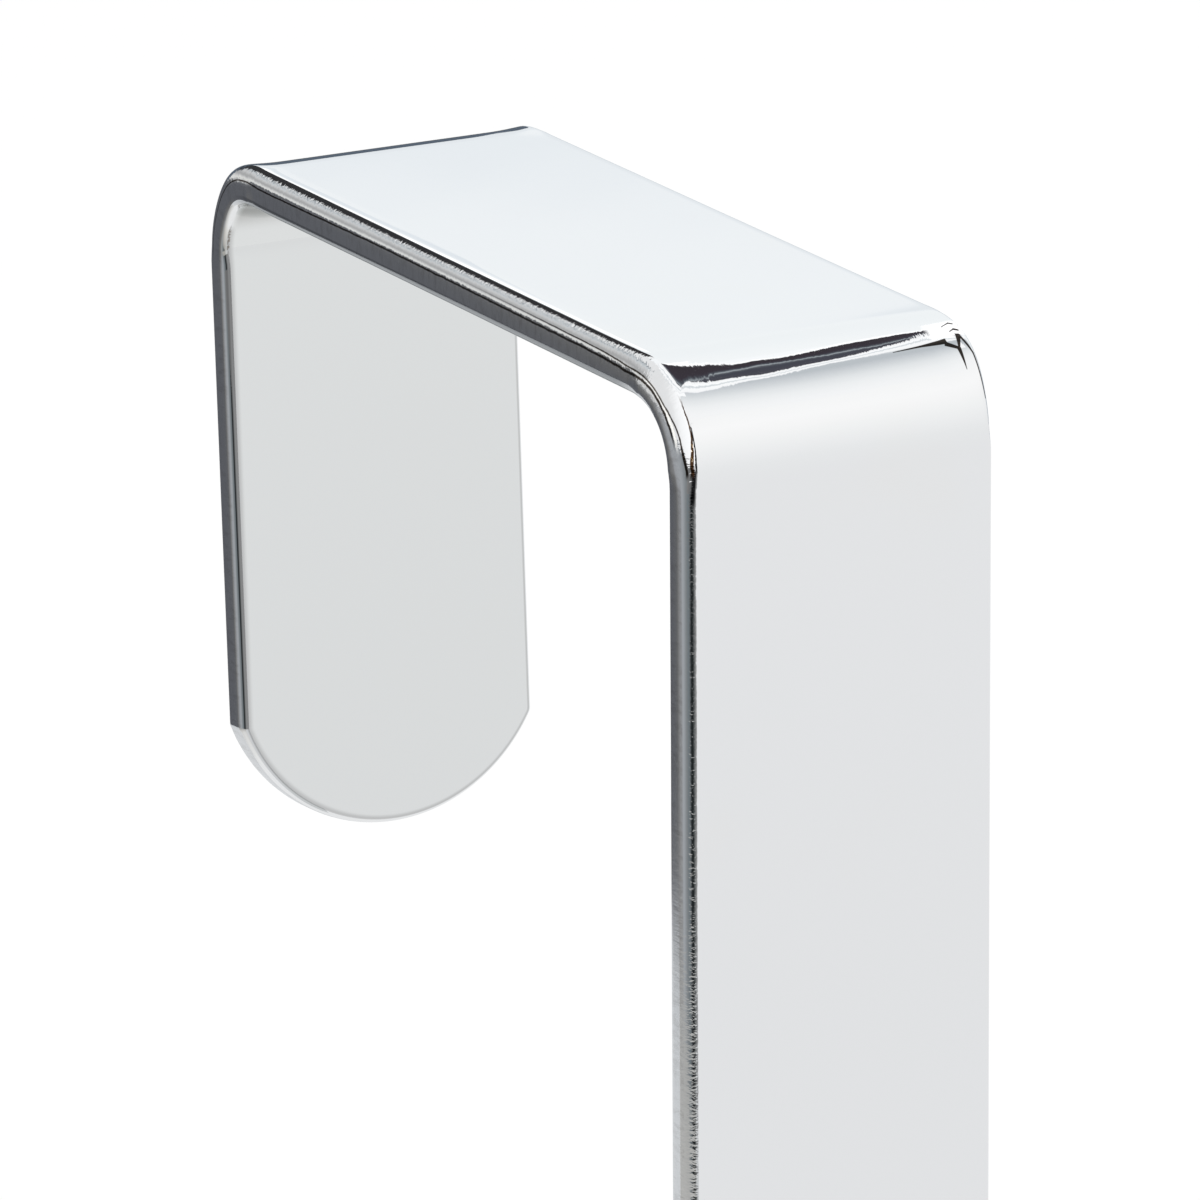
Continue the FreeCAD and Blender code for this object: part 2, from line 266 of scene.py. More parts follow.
class BentStrip:
    """Carries points and normals of the flat strip over to the bent one.

    A flat point is across, along and height: its X, its distance from the back leg's foot and
    its height over the strip's middle, which is positive on the show side.
    """

    # Width of the curled edge, widths of the humps along the strip, where the far half and the far
    # edge rise across it, and the step that slopes are measured with.
    EDGE_BAND = 2.4 * MM
    HUMP = 1.7 * MM
    EAR_HUMP = 1.4 * MM
    FAR_HALF = (-2 * MM, 8 * MM)
    FAR_EDGE = (6.2 * MM, 8 * MM)
    PROBE = 0.01 * MM

    def __init__(self, sizes):
        self.line = BentLine(sizes)
        self.half_width = sizes.width / 2
        self.half = sizes.thickness / 2
        self.tight = sizes.bend_radius + self.half
        self.curls = (sizes.near_curl, sizes.far_curl)
        self.spread = sizes.spread
        self.swell = sizes.swell
        self.ear = sizes.ear

    def hump(self, along, bend, degrees, width):
        """A smooth hump over the strip, this many degrees into the back or front bend."""
        start, way = ((self.line.ends[1], -1), (self.line.ends[2], 1))[bend]
        middle = start + way * self.tight * math.radians(degrees)
        return np.exp(-((along - middle) / width) ** 2)

    def bend_share(self, along):
        """1 in a bend over the door, 0 in a straight run, and below 0 in the hook."""
        return np.interp(along, self.line.along, self.line.curve) * self.tight

    def strain(self, across, along, height):
        """How far a flat point moves across and up when the strip is bent."""
        share = self.bend_share(along)
        inward = np.clip((self.half_width - np.abs(across)) / self.EDGE_BAND, -1, 1)
        by_edge = (1 - inward) ** 2
        curl = np.where(across < 0, *self.curls) * self.hump(along, 0, 30, self.HUMP)
        far_half = self.rise(across, self.FAR_HALF) ** 1.6
        far_edge = self.rise(across, self.FAR_EDGE) ** 1.5
        up = curl * by_edge + self.swell * far_half * self.hump(along, 1, 30, self.HUMP)
        up = up + self.ear * far_edge * self.hump(along, 1, 42, self.EAR_HUMP)
        weave = np.sin(across * 520 + along * 310 + 0.6) * np.sin(along * 430 + 1.1)
        up = up + 2.5 * MICRON * weave + 3.5 * MICRON * np.sin(along * 170 + across * 90)
        out = -share * self.spread * (height / self.half) * by_edge * np.sign(across)
        return out, up

    @staticmethod
    def rise(across, ends):
        """0 up to the first end, 1 at the second and a little more past it."""
        return np.clip((across - ends[0]) / (ends[1] - ends[0]), 0, 1.1)

    def place(self, across, along, height, normal):
        """Bend flat points and their normals."""
        y, z, heading, curve = self.line.at(along)
        out, up = self.strain(across, along, height)
        rise = height + up

        def slopes(axis):
            ahead = [across, along, height]
            behind = [across, along, height]
            ahead[axis] = ahead[axis] + self.PROBE
            behind[axis] = behind[axis] - self.PROBE
            pairs = zip(self.strain(*ahead), self.strain(*behind))
            return [(a - b) / (2 * self.PROBE) for a, b in pairs]

        zero = np.zeros_like(across)
        out_x, up_x = slopes(0)
        out_s, up_s = slopes(1)
        out_h, up_h = slopes(2)
        by_x = np.stack([1 + out_x, zero, up_x], -1)
        by_s = np.stack([out_s, 1 + curve * rise, up_s], -1)
        by_h = np.stack([out_h, zero, 1 + up_h], -1)
        turned = (normal[:, :1] * np.cross(by_s, by_h)
                  + normal[:, 1:2] * np.cross(by_h, by_x)
                  + normal[:, 2:] * np.cross(by_x, by_s))
        forward_y, forward_z = np.cos(heading), np.sin(heading)
        show_y, show_z = forward_z, -forward_y
        points = np.stack([across + out, y + show_y * rise, z + show_z * rise], -1)
        normals = np.stack([
            turned[:, 0],
            forward_y * turned[:, 1] + show_y * turned[:, 2],
            forward_z * turned[:, 1] + show_z * turned[:, 2],
        ], -1)
        return points, normals / np.linalg.norm(normals, axis=1, keepdims=True)


def edge_profile(thickness, softness, deeper=False):
    """The edge's rows from face to face: inset from the outline, height, turn and travel.

    The turn is in degrees, and the travel is the distance along the edge from the show face.
    """

    def walk(along, turn):
        turn = np.radians(turn)
        middle = (turn[1:] + turn[:-1]) / 2
        step = np.diff(along) * softness * MM
        out = np.concatenate([[0], np.cumsum(np.cos(middle) * step)])
        down = np.concatenate([[0], np.cumsum(np.sin(middle) * step)])
        return out, down, turn

    straight, bent, turns = np.array(ROLL_OVER).T
    roll_out, roll_down, roll_turn = walk(bent if deeper else straight, turns)
    door_out, door_down, door_turn = walk(*np.array(DOOR_EDGE).T)
    flat = thickness - roll_down[-1] - door_down[-1]
    shares = np.linspace(0, 1, FLAT_STEPS + 1)[1:]
    out = np.concatenate([roll_out, np.full(FLAT_STEPS, roll_out[-1]),
                          roll_out[-1] + door_out[1:]])
    down = np.concatenate([roll_down, roll_down[-1] + flat * shares,
                           roll_down[-1] + flat + door_down[1:]])
    turn = np.concatenate([roll_turn, roll_turn[-1] + (door_turn[0] - roll_turn[-1]) * shares,
                           door_turn[1:]])
    travel = np.concatenate([[0], np.cumsum(np.hypot(np.diff(out), np.diff(down)))])
    return out.max() - out, thickness / 2 - down, turn, travel


def round_end(sizes, side):
    """Half of a round end, from its tip to one side: points, and the directions they face.

    side is 1 or -1 in X. A point is X and the distance from the tip.
    """
    radius, corner, shift = sizes.end_radius, sizes.corner_radius, sizes.end_shift
    reach = sizes.width / 2 - corner - side * shift
    end = math.asin(reach / (radius - corner))
    arc = np.linspace(0, end, ARC_STEPS + 1)
    turn = np.linspace(end, math.pi / 2, CORNER_STEPS + 1)[1:]
    corner_x = shift * side + reach
    corner_y = radius - (radius - corner) * math.cos(end)
    x = np.concatenate([shift * side + radius * np.sin(arc), corner_x + corner * np.sin(turn)])
    y = np.concatenate([radius * (1 - np.cos(arc)), corner_y - corner * np.cos(turn)])
    angle = np.concatenate([arc, turn])
    points = np.stack([side * x, y], -1)
    facing = np.stack([side * np.sin(angle), -np.cos(angle)], -1)
    return points, facing


def mitred(sizes, length, points, inset):
    """Move points that their inset carries past the mitre of a blunt corner back to it."""
    across, along = points[..., 0], points[..., 1]
    side = np.where(across < 0, -1.0, 1.0)
    to_tip = np.minimum(along, length - along)
    limit = sizes.width / 2 - inset
    rise = (sizes.end_radius - inset) ** 2 - (side * limit - sizes.end_shift) ** 2
    mitre = sizes.end_radius - np.sqrt(rise)
    past = (np.abs(across) > limit + 1e-9) | ((np.abs(across) > limit - 1e-9) & (to_tip < mitre))
    new_along = np.where(along < length / 2, mitre, length - mitre)
    return np.stack([np.where(past, side * limit, across), np.where(past, new_along, along)], -1)


def row_stations(line, start, end):
    """Distances along the strip for rows of the mesh, closer together in the bends."""
    step = 0.05 * MM
    probe = np.arange(0, line.length, step)
    bent = np.abs(np.interp(probe, line.along, line.curve))
    near_bend = eased(np.clip(bent * 0.004, 0, 1), 2 * MM, step)
    spacing = COARSE_ROWS + (FINE_ROWS - COARSE_ROWS) * np.clip(near_bend * 1.6, 0, 1)
    count = np.cumsum(step / spacing)
    first, last = np.interp([start, end], probe, count)
    rows = max(2, int(round(last - first)))
    return np.interp(np.linspace(first, last, rows + 1), count, probe)


def outline_side(sizes, line, side):
    """One side of the flat outline, from foot to tip: points, and the directions they face."""
    first, first_facing = round_end(sizes, side)
    tail = first[-1, 1]
    stations = row_stations(line, END_ROOM, line.length - END_ROOM)
    lead = np.linspace(tail, stations[0], 4)[1:-1]
    close = np.linspace(stations[-1], line.length - tail, 4)[1:-1]
    along = np.concatenate([lead, stations, close])
    straight = np.stack([np.full(len(along), side * sizes.width / 2), along], -1)
    facing = np.tile([float(side), 0.0], (len(along), 1))
    last = np.stack([first[::-1, 0], line.length - first[::-1, 1]], -1)
    last_facing = np.stack([first_facing[::-1, 0], -first_facing[::-1, 1]], -1)
    return (np.concatenate([first, straight, last]),
            np.concatenate([first_facing, facing, last_facing]))


def edge_ring(sizes, line, outline, facing):
    """The edge round the flat outline: points, normals, and the profile's turn and travel.

    At each place on the outline, the points go from the show face to the door face.
    """
    near_inset, near_level, turn, travel = edge_profile(sizes.thickness, 1.0)
    far_inset, far_level, _, _ = edge_profile(sizes.thickness, sizes.far_edge)
    deep_inset, deep_level, _, _ = edge_profile(sizes.thickness, 1.0, deeper=True)
    far_share = (1 + facing[:, :1]) / 2
    past_bend = (outline[:, 1:] - line.ends[2]) / MM
    deeper = np.interp(past_bend, *np.array(DEEPER).T) * (1 - far_share)
    inset = (near_inset + (far_inset - near_inset) * far_share
             + (deep_inset - near_inset) * deeper)
    heights = (near_level + (far_level - near_level) * far_share
               + (deep_level - near_level) * deeper)
    flat = outline[:, None, :] - facing[:, None, :] * inset[..., None]
    flat = mitred(sizes, line.length, flat, inset)
    outward = facing[:, None, :] * np.sin(turn)[None, :, None]
    upward = np.broadcast_to(np.cos(turn), inset.shape)
    points = np.concatenate([flat, heights[..., None]], -1)
    normals = np.concatenate([outward, upward[..., None]], -1)
    return points.reshape(-1, 3), normals.reshape(-1, 3), turn, travel


def ring_faces(around, deep):
    """Mesh faces of the edge, which is closed all the way round."""
    faces = []
    for place in range(around):
        here, there = place * deep, (place + 1) % around * deep
        for step in range(deep - 1):
            faces.append((here + step, there + step, there + step + 1, here + step + 1))
    return faces


def face_between(ring, ends, used, show_side):
    """A flat face inside the ring: its own points, and its mesh faces.

    ends has the ring's point at the left and at the right of each row, which are the same one
    at the foot and at the tip. used is how many points come before this face's own.
    """
    share = np.linspace(0, 1, COLUMNS + 1)[1:-1, None]
    points, grid, faces = [], [], []
    for left, right in ends:
        if left == right:
            grid.append([left])
            continue
        points.append(ring[left] + (ring[right] - ring[left]) * share)
        grid.append([left, *range(used, used + COLUMNS - 1), right])
        used += COLUMNS - 1
    for before, after in zip(grid, grid[1:]):
        for at in range(COLUMNS):
            corners = [before[min(at, len(before) - 1)], before[min(at + 1, len(before) - 1)],
                       after[min(at + 1, len(after) - 1)], after[min(at, len(after) - 1)]]
            corners = list(dict.fromkeys(corners))
            faces.append(corners[::-1] if show_side else corners)
    return np.concatenate(points), faces


def strap_mesh(sizes):
    """Mesh of the bent strip: the edge all round it, a show face and a door face."""
    strip = BentStrip(sizes)
    far, far_facing = outline_side(sizes, strip.line, 1)
    near, near_facing = outline_side(sizes, strip.line, -1)
    outline = np.concatenate([far, near[-2:0:-1]])
    facing = np.concatenate([far_facing, near_facing[-2:0:-1]])
    around = len(outline)
    ring, ring_normals, turn, travel = edge_ring(sizes, strip.line, outline, facing)
    deep = len(turn)

    points = [ring]
    normals = [ring_normals]
    faces = ring_faces(around, deep)
    used = len(ring)
    for show_side, step in ((True, 0), (False, deep - 1)):
        ends = [(-row % around * deep + step, row * deep + step) for row in range(len(far))]
        inner, inner_faces = face_between(ring, ends, used, show_side)
        points.append(inner)
        normals.append(np.tile([0.0, 0.0, 1.0 if show_side else -1.0], (len(inner), 1)))
        faces.extend(inner_faces)
        used += len(inner)
    flat = np.concatenate(points)
    bent, bent_normals = strip.place(*flat.T, np.concatenate(normals))

    mesh = bpy.data.meshes.new("plated_strap")
    mesh.from_pydata(bent.tolist(), [], faces)
    mesh.validate()
    mesh.polygons.foreach_set("use_smooth", np.ones(len(mesh.polygons), bool))
    mesh.normals_split_custom_set_from_vertices(bent_normals.tolist())
    edge = np.where(flat[:, 2] > 0, 0.0, travel[-1])
    edge[:len(ring)] = np.tile(travel, around)
    cut_edge = np.zeros(len(flat))
    burnished = np.clip((np.sin(turn) - 0.9) * 12, 0, 1) * (travel > BAND_START)
    cut_edge[:len(ring)] = np.tile(burnished, around)
    turned = np.interp(flat[:, 1], strip.line.along, strip.line.heading) - math.pi
    add_places(mesh, flat, {
        "edge": edge / MM, "cut_edge": cut_edge, "turned": np.degrees(turned),
        "past_bend": (flat[:, 1] - strip.line.ends[2]) / MM})
    mesh.update()
    return mesh


def add_places(mesh, flat, places):
    """Keep each point's flat place on the mesh, and other numbers that the paint follows."""
    flat_place = mesh.attributes.new("flat_place", "FLOAT_VECTOR", "POINT")
    flat_place.data.foreach_set("vector", flat.astype(np.float32).ravel())
    for name, values in places.items():
        attribute = mesh.attributes.new(name, "FLOAT", "POINT")
        attribute.data.foreach_set("value", values.astype(np.float32))


class Value:
    """A number from a shader socket that takes Python's arithmetic."""

    def __init__(self, shader, socket):
        self.shader = shader
        self.socket = socket

    def math(self, operation, *terms):
        made = self.shader.node("ShaderNodeMath", {"operation": operation},
                                dict(enumerate(terms)))
        return Value(self.shader, made.outputs[0])

    def __add__(self, other):
        return self.math("ADD", self, other)

    __radd__ = __add__

    def __sub__(self, other):
        return self.math("SUBTRACT", self, other)

    def __rsub__(self, other):
        return self.math("SUBTRACT", other, self)

    def __mul__(self, other):
        return self.math("MULTIPLY", self, other)

    __rmul__ = __mul__

    def __abs__(self):
        return self.math("ABSOLUTE", self)

    def between(self, low, high):
        """0 below low, 1 above high, and smooth between."""
        made = self.shader.node(
            "ShaderNodeMapRange", {"interpolation_type": "SMOOTHSTEP"},
            {"Value": self, "From Min": low, "From Max": high})
        return Value(self.shader, made.outputs[0])

    def within(self, rise, fall):
        """1 from the end of rise to the start of fall, and 0 outside both."""
        return self.between(*rise) * (1 - self.between(*fall))


class Shader:
    """The node tree of a material or the world."""

    def __init__(self, tree):
        self.tree = tree
        tree.nodes.clear()

    def node(self, kind, settings=None, sockets=None):
        """Add a node. settings go on first, then the values or links of its sockets."""
        made = self.tree.nodes.new(kind)
        for name, value in (settings or {}).items():
            if name == "stops":
                self.set_stops(made.color_ramp, value)
            else:
                setattr(made, name, value)
        for name, value in (sockets or {}).items():
            if isinstance(value, Value):
                self.tree.links.new(value.socket, made.inputs[name])
            elif isinstance(value, bpy.types.NodeSocket):
                self.tree.links.new(value, made.inputs[name])
            else:
                made.inputs[name].default_value = value
        return made

    @staticmethod
    def set_stops(ramp, stops):
        while len(ramp.elements) > 1:
            ramp.elements.remove(ramp.elements[-1])
        for index, (position, colour) in enumerate(stops):
            element = ramp.elements[0] if index == 0 else ramp.elements.new(position)
            element.position = position
            element.color = (*colour, 1)

    def value(self, kind, settings=None, sockets=None, output=0):
        """Add a node and take one of its outputs as a number."""
        return Value(self, self.node(kind, settings, sockets).outputs[output])

    def noise(self, place, scale, detail=2.0, roughness=0.5):
        """Noise at a place. scale is one number, or one for each axis."""
        if isinstance(scale, tuple):
            place = self.node("ShaderNodeVectorMath", {"operation": "MULTIPLY"},
                              {0: place, 1: scale}).outputs[0]
            scale = 1.0
        return self.value("ShaderNodeTexNoise", None, {
            "Vector": place, "Scale": scale, "Detail": detail, "Roughness": roughness})

    def mix(self, factor, first, second):
        """A colour between two colours."""
        made = self.node("ShaderNodeMix", {"data_type": "RGBA"},
                         {0: factor, 6: first, 7: second})
        return made.outputs[2]


def new_material(name):
    """A new material, and its empty node tree."""
    material = bpy.data.materials.new(name)
    material.use_nodes = True
    return material, Shader(material.node_tree)


# Width over which painted lines and strokes fade out at their rims, in millimetres.
SOFT_RIM = 0.03


def line(offset, width):
    """1 on a painted line and 0 beside it, by the distance from its middle in millimetres."""
    return 1 - (abs(offset) - width).between(0.0, SOFT_RIM)


def stroke(across, past, start, end, widths):
    """1 on a straight stroke between two places, with a half width for each of its ends."""
    reach = math.dist(start, end)
    way = ((end[0] - start[0]) / reach, (end[1] - start[1]) / reach)
    ahead = (across - start[0]) * way[0] + (past - start[1]) * way[1]
    aside = (across - start[0]) * way[1] - (past - start[1]) * way[0]
    width = ahead * ((widths[1] - widths[0]) / reach) + widths[0]
    return line(aside, width) * ahead.within((-SOFT_RIM, 0.0), (reach, reach + SOFT_RIM))


# Thin dark strokes at the front bend's far corner: real folds, drawn as painted dark reflections.
# Where each starts and ends, across the strap and past the start of the bend, and its half width
# at both, in millimetres.
FOLD_SHADE_STROKES = (
    ((3.9, 2.42), (5.35, 2.36), (0.0, 0.03)), ((5.35, 2.36), (6.75, 2.32), (0.03, 0.11)),
    ((6.62, 2.42), (7.2, 2.72), (0.10, 0.05)), ((7.5, 2.12), (7.22, 2.72), (0.12, 0.03)),
    ((7.2, 2.72), (7.2, 3.58), (0.09, 0.0)), ((7.5, 2.12), (7.8, 3.02), (0.05, 0.03)),
    ((7.8, 3.02), (7.86, 4.72), (0.03, 0.01)), ((6.98, 1.59), (7.45, 1.44), (0.005, 0.02)),
    ((7.45, 1.44), (7.64, 1.54), (0.04, 0.03)), ((7.2, 1.92), (7.46, 1.83), (0.005, 0.02)),
    ((7.46, 1.83), (7.68, 1.94), (0.04, 0.03)),
)


# Where lines run along the edge, in millimetres from the show face: the tear under the roll-over,
# a painted dark reflection beside it, the crease of the front bend, and by the door face a
# painted dark reflection along the limb and a dotted dark line.
TEAR_AT = 1.94
PAINTED_LINE_AT = 1.60
CREASE_AT = 1.12
LIMB_AT = 3.05
SPOTS_AT = 3.27
# Black of the tear's painted shade and of the painted dark reflection beside it.
PAINTED_SHADE_BLACK = (0.035, 0.027, 0.022, 1)


class StrapPlace:
    """Where a point of the strap lies, as values that its paint follows.

    across is millimetres from the strip's middle, past is millimetres past the start of the
    front bend, and edge is millimetres along the edge from the show face. turned is the way that
    the strip runs: -93 degrees on the back leg, 0 on the bridge and 90 on the front leg. cut is 1
    on the burnished band, and near is 1 on the near half.
    """

    def __init__(self, shader):
        self.flat = shader.node(
            "ShaderNodeAttribute", {"attribute_name": "flat_place"}).outputs["Vector"]
        self.cut, self.edge, self.turned, self.past = (
            shader.value("ShaderNodeAttribute", {"attribute_name": name}, output="Fac")
            for name in ("cut_edge", "edge", "turned", "past_bend"))
        self.across = shader.value("ShaderNodeSeparateXYZ", None, {0: self.flat}) * (1 / MM)
        self.near = 1 - self.across.between(-2, 0)


def plating_height(shader, at):
    """Height of the fine relief: orange peel, ripples in the front bend and the torn edge."""
    on_leg = 1 - at.turned.within((-92, -84), (84, 89))
    on_top = at.turned.within((-90, -84), (20, 50))
    peel = shader.noise(at.flat, 900) - 0.5
    ripple = shader.noise(at.flat, (3200, 1700, 1700), 2, 0.55) - 0.5
    ripple = ripple * at.turned.within((8, 16), (36, 50))
    chatter = shader.noise(at.flat, (700, 5200, 900), 3, 0.65) - 0.5
    torn = shader.noise(at.flat, (2600, 4400, 2600), 2, 0.6) - 0.5
    ragged = at.edge.within((1.0, 1.15), (1.35, 1.5)) * (4 + 4 * on_top)
    beaten = at.edge.within((1.35, 1.5), (1.9, 2.1)) * (3 - 2 * on_leg)
    return peel * 0.12 + ripple * 0.8 + chatter * at.cut * 0.5 + torn * (ragged + beaten)


def plating_roughness(shader, at, finish):
    """Polished faces with a wiped haze, and a duller burnished band."""
    haze = shader.noise(at.flat, 160, 3, 0.6).between(0.52, 0.8)
    wipe = shader.noise(at.flat, (900, 90, 900), 3, 0.6).between(0.55, 0.85)
    return (finish.roughness + 0.05 * haze * wipe
            + (finish.edge_roughness - finish.roughness) * at.cut)


def door_side_marks(at, fleck):
    """Colours from the burnished band round to the door face, painted reflections and shade among
    them: the mask and colour of each.
    """
    by_bridge = at.past.within((-41, -37.6), (-2, 0.4))
    by_back_leg = 1 - at.turned.between(-68, -58)
    door_face = at.edge.between(3.25, 3.4)
    inner_arc = at.edge.within((2.72, 2.82), (3.18, 3.3)) * at.turned.between(-92, -89)
    # Painted dark reflection on the door-side bevel along the bridge.
    bevel = at.edge.within((2.64, 2.74), (3.22, 3.30))
    # Painted dark reflection: a grey patch on the door face by the near edge, close to the back
    # bend.
    painted_dark_reflection = at.across.between(-7.7, -7.3) * at.past.within((-43.4, -41), (-40, -38))
    # Painted shade: grey fading out across the door face's edge on the back leg and back bend, for
    # its rounding.
    painted_edge_shade = at.edge.within((3.2, 3.27), (3.28, 3.62))
    spotted = line(at.edge - SPOTS_AT, 0.05) * at.turned.between(-90, -84)
    return {
        "door_face": (door_face, (0.70, 0.715, 0.715, 1)),
        "inner_arc": (inner_arc * by_back_leg, (0.70, 0.70, 0.68, 1)),
        "bevel": (bevel * by_bridge, (0.36, 0.37, 0.38, 1)),
        # Painted dark reflection along the limb, on the bridge.
        "limb": (line(at.edge - LIMB_AT, 0.08) * by_bridge, (0.22, 0.24, 0.25, 1)),
        "painted_dark_reflection": (door_face * painted_dark_reflection * 0.85, (0.36, 0.36, 0.35, 1)),
        "painted_edge_shade": (painted_edge_shade * by_back_leg * 0.6, (0.35, 0.35, 0.35, 1)),
        "spotted": (spotted * by_back_leg * fleck.between(0.42, 0.55) * 0.7,
                    (0.20, 0.16, 0.12, 1)),
    }


def torn_edge_marks(shader, at, fleck):
    """Tear and crease drawn with painted shade and reflection, other painted dark reflections and
    a painted highlight along the torn edge: the mask and colour of each.
    """
    edge, past, turned = at.edge, at.past, at.turned
    wander = shader.noise(at.flat, (0, 900, 0), 4, 0.75) - 0.5
    gape = shader.noise(at.flat, (0, 2400, 0), 3, 0.7) - 0.5

    # The tear is real; its dark line is painted shade, standing in for a groove that the mesh
    # lacks.
    from_tear = (edge - TEAR_AT + 0.08 * past.between(-36.6, -24.6)
                 + 0.025 * past.between(-10, -2) - 0.12 * wander)
    tear = line(from_tear, 0.027 + 0.06 * gape) * turned.within((-94, -88), (58, 72))
    # Painted highlight: a cream line, not metal, on the show side of the tear on the front bend's
    # near side.
    cream_highlight = line(from_tear + 0.09, 0.028 + 0.03 * gape)
    cream_highlight = cream_highlight * past.within((0.3, 1.3), (4.3, 5.2)) * at.near

    # Painted dark reflection: a thin dark line beside the tear, stronger towards the front bend.
    from_painted_line = (edge - PAINTED_LINE_AT - 0.04 * past.between(-16.6, -3.6)
                 - 0.09 * past.between(-4.1, 1.9) + 0.147 * past.between(2.4, 4.7)
                 + 0.09 * past.between(4.9, 6.0) - 0.05 * wander)
    painted_dark_line = line(from_painted_line, 0.01 + 0.04 * gape + 0.03 * past.between(4.6, 5.3))
    painted_dark_line = painted_dark_line * past.between(-19.6, -5.6) * (1 - turned.between(84, 88))

    # The crease is real, with gold flecks in its plating; its dark line is partly painted dark
    # reflection.
    from_crease = edge - CREASE_AT - 0.16 * turned.between(62, 80) - 0.2 * wander
    crease = line(from_crease, 0.03 + 0.04 * turned.between(58, 76) + 0.1 * gape)
    crease = crease * turned.within((38, 50), (84, 88)) * at.near
    # Painted dark reflection: the edge's black band carried on at the end of the front bend, on
    # the near side.
    root = edge.within((1.06, 1.12), (1.24, 1.34)) * at.near
    root = root * turned.between(78, 84) * (1 - past.between(6.9, 7.6))
    flecked = turned.within((56, 64), (72, 80))
    gold = shader.mix(fleck.between(0.52, 0.62) * flecked,
                      (0.05, 0.025, 0.012, 1), (0.42, 0.27, 0.10, 1))
    gold = shader.mix(fleck.between(0.60, 0.66) * flecked, gold, (0.90, 0.88, 0.85, 1))
    return {
        "cream_highlight": (cream_highlight, (0.93, 0.92, 0.88, 1)),
        "tear": (tear, PAINTED_SHADE_BLACK),
        "painted_dark_line": (painted_dark_line, PAINTED_SHADE_BLACK),
        "root": (root, (0.05, 0.05, 0.055, 1)),
        "crease": (crease, gold),
    }


def far_corner_marks(at):
    """Painted highlight and the folds' painted dark reflections on the front bend's far corner:
    the mask and colour of each.
    """
    on_face = 1 - at.edge.between(1.2, 1.5)
    # Painted highlight: a white patch, not metal, between the folds at the far corner.
    flare = at.across.between(5.9, 6.3) * at.past.within((1.25, 1.4), (2.1, 2.25))
    fold_shade = sum(stroke(at.across, at.past, *fold) for fold in FOLD_SHADE_STROKES)
    return {
        "flare": (flare * on_face, (0.92, 0.92, 0.93, 1)),
        "fold_shade": (fold_shade * on_face, (0.03, 0.025, 0.022, 1)),
    }


def chrome(finish):
    """Bright chrome over a strip with a sheared edge."""
    material, shader = new_material("chrome_plate")
    at = StrapPlace(shader)
    fleck = shader.noise(at.flat, 7000, 2, 0.6)
    marks = {**door_side_marks(at, fleck), **torn_edge_marks(shader, at, fleck),
             **far_corner_marks(at)}

    red, green, blue = finish.colour
    smudge = shader.noise(at.flat, 95, 2, 0.55).between(0.58, 0.78)
    dull = shader.noise(at.flat, (900, 2600, 900), 3, 0.7).between(0.45, 0.7)
    colour = shader.mix(smudge * 0.35, (red, green, blue, 1),
                        (red, green * 0.985, blue * 0.95, 1))
    colour = shader.mix(at.cut * dull * 0.3, colour, (0.42, 0.41, 0.40, 1))
    # Painted reflections, painted shade and painted highlights among the marks go over the
    # chrome's colour.
    for mask, paint in marks.values():
        colour = shader.mix(mask, colour, paint)

    bump = shader.node("ShaderNodeBump", None, {
        "Strength": 1.0, "Distance": 4 * MICRON, "Height": plating_height(shader, at)})
    surface = shader.node("ShaderNodeBsdfPrincipled", None, {
        # The painted highlights are not metal.
        "Base Color": colour, "Metallic": 1 - marks["cream_highlight"][0] - marks["flare"][0],
        "Roughness": plating_roughness(shader, at, finish), "Normal": bump.outputs[0]})
    shader.node("ShaderNodeOutputMaterial", None, {"Surface": surface.outputs[0]})
    return material


def seen_share(shader):
    """1 for what the camera sees, also by reflection or through glass, and else 0."""
    path = shader.node("ShaderNodeLightPath")
    seen = [Value(shader, path.outputs[name])
            for name in ("Is Camera Ray", "Is Glossy Ray", "Is Transmission Ray")]
    return seen[0] + seen[1] + seen[2]


def pale_floor(colour):
    """Matt floor that reads white and keeps the shadow."""
    material, shader = new_material("pale_floor")
    paper = shader.node("ShaderNodeBsdfDiffuse", None, {"Color": (*colour, 1)})
    glow = shader.node("ShaderNodeEmission", None, {"Color": (1, 1, 1, 1), "Strength": 1.0})
    mixed = shader.node("ShaderNodeMixShader", None, {
        0: seen_share(shader) * 0.88, 1: paper.outputs[0], 2: glow.outputs[0]})
    shader.node("ShaderNodeOutputMaterial", None, {"Surface": mixed.outputs[0]})
    return material


def card_paint(name, stops):
    """Paint for a card that the chrome reflects. stops has its shade at some of its places."""
    material, shader = new_material(name)
    start, end = stops[0][0], stops[-1][0]
    place = shader.value("ShaderNodeAttribute", {"attribute_name": "place"}, output="Fac")
    share = shader.value("ShaderNodeMapRange", None, {
        "Value": place, "From Min": start, "From Max": end})
    peak = max(max(shade) for _, shade in stops)
    ramp = shader.node("ShaderNodeValToRGB", {"stops": [
        ((at - start) / (end - start), [part / peak for part in shade])
        for at, shade in stops]}, {"Fac": share})
    glow = shader.node("ShaderNodeEmission", None, {
        "Color": ramp.outputs[0], "Strength": peak})
    shader.node("ShaderNodeOutputMaterial", None, {"Surface": glow.outputs[0]})
    return material


def link(name, data):
    """Put a new object into the scene."""
    made = bpy.data.objects.new(name, data)
    bpy.context.scene.collection.objects.link(made)
    return made


def toward(azimuth, elevation):
    """Direction by degrees from +Y towards +X, and degrees above level."""
    around, above = math.radians(azimuth), math.radians(elevation)
    return Vector((math.sin(around) * math.cos(above), math.cos(around) * math.cos(above),
                   math.sin(above)))


